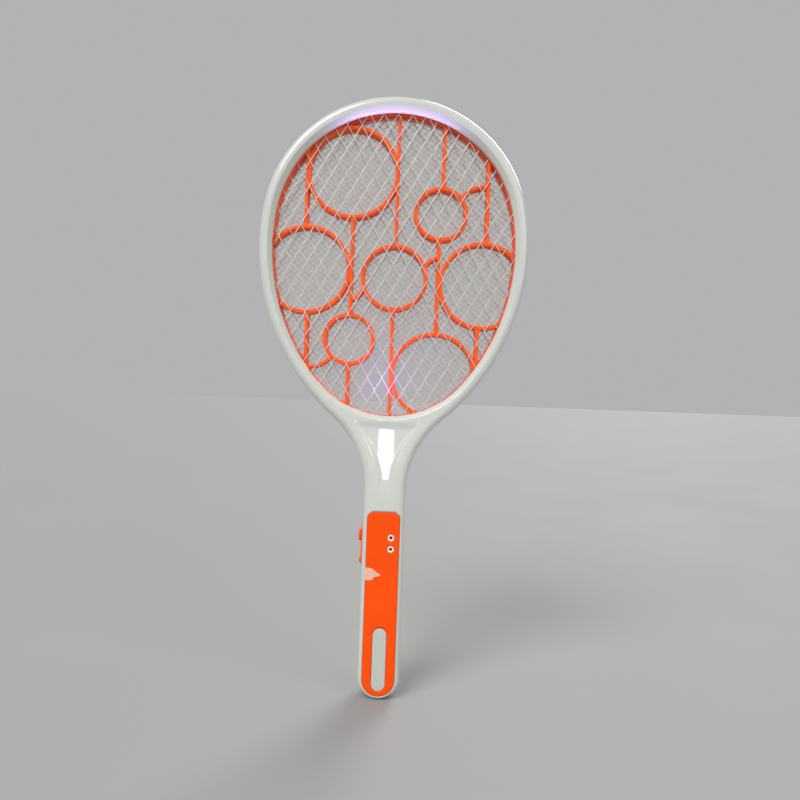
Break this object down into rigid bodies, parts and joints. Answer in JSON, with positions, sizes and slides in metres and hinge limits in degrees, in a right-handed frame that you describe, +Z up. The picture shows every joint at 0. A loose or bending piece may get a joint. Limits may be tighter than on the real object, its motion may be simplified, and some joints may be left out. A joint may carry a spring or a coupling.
{
  "type": "electric fly swatter",
  "caption": "Rechargeable racket-shaped insect swatter: egg-shaped framed grids with an orange spacer lattice, slim handle with lamp, side slider and button.",
  "frame": {"origin": "middle of the hand grip, on the parting plane of the two shells", "axes": "+Z up the handle to the head, -Y out of the front face, +X to the right of someone who looks at the front"},
  "size_m": [0.2192, 0.0264, 0.4898],
  "materials": {
    "white_shell": "glossy moulded off-white",
    "outer_grid": "plain expanded metal",
    "inner_grid": "plain expanded metal",
    "orange_lattice": "moulded orange",
    "orange_panel": "glossy orange",
    "seal_paper": "torn thin paper",
    "frosted_lens": "frosted",
    "circuit_green": "solder mask",
    "led_phosphor": "phosphor",
    "white_ring": "glossy",
    "dark_led": "tinted epoxy",
    "black_plastic": "satin",
    "switch_metal": "plated",
    "violet_led": "lit violet",
    "ferrite": "sintered",
    "winding": "enamelled copper",
    "film_red": "dipped",
    "film_yellow": "boxed",
    "resistor_tan": "coated",
    "battery_case": "satin",
    "foam": "closed foam",
    "red_wire": "insulation",
    "nickel": "plated",
    "brass_contact": "spring brass",
    "screw_steel": "zinc plated"
  },
  "bodies": {
    "racket": {"front_shell": "white_shell", "rear_shell": "white_shell", "front_grid": "outer_grid", "front_lattice": "orange_lattice", "inner_grid": "inner_grid", "rear_lattice": "orange_lattice", "rear_grid": "outer_grid", "grip_panel": "orange_panel", "seal_scrap": "seal_paper", "lamp_lens": "frosted_lens", "lamp_board": "circuit_green", "lamp_leds": "led_phosphor", "indicator_ring_upper": "white_ring", "indicator_ring_lower": "white_ring", "indicator_led_upper": "dark_led", "indicator_led_lower": "dark_led", "switch_bezel": "orange_panel", "slide_switch": "switch_metal", "tact_switch": "black_plastic", "lure_led_left": "violet_led", "lure_led_right": "violet_led", "lure_board": "circuit_green", "circuit_board": "circuit_green", "transformer_core": "ferrite", "transformer_winding": "winding", "output_capacitor": "film_red", "dropper_capacitor": "film_yellow", "drive_transistor": "black_plastic", "rectifier_diodes": "black_plastic", "resistors": "resistor_tan", "battery": "battery_case", "battery_pad": "foam", "battery_lead_plus": "red_wire", "battery_lead_minus": "black_plastic", "inlet_housing": "black_plastic", "inlet_pin_front": "nickel", "inlet_pin_rear": "nickel", "inner_contact": "brass_contact", "front_contact": "brass_contact", "rear_contact": "brass_contact", "inner_grid_lead": "red_wire", "outer_grid_lead": "black_plastic", "head_screws": "screw_steel", "handle_screws": "screw_steel"},
    "mode_slider": {"mode_thumb": "orange_panel", "switch_lever": "black_plastic"},
    "zap_button": {"push_button": "orange_panel", "tact_plunger": "black_plastic"}
  },
  "joints": [
    {"name": "mode_slide", "type": "slide", "parent": "racket", "child": "mode_slider", "axis": [0, 0, 1], "range_m": [-0.004, 0]},
    {"name": "button_press", "type": "slide", "parent": "racket", "child": "zap_button", "axis": [1, 0, 0], "range_m": [0, 0.001], "stiffness_N_per_m": 400}
  ]
}
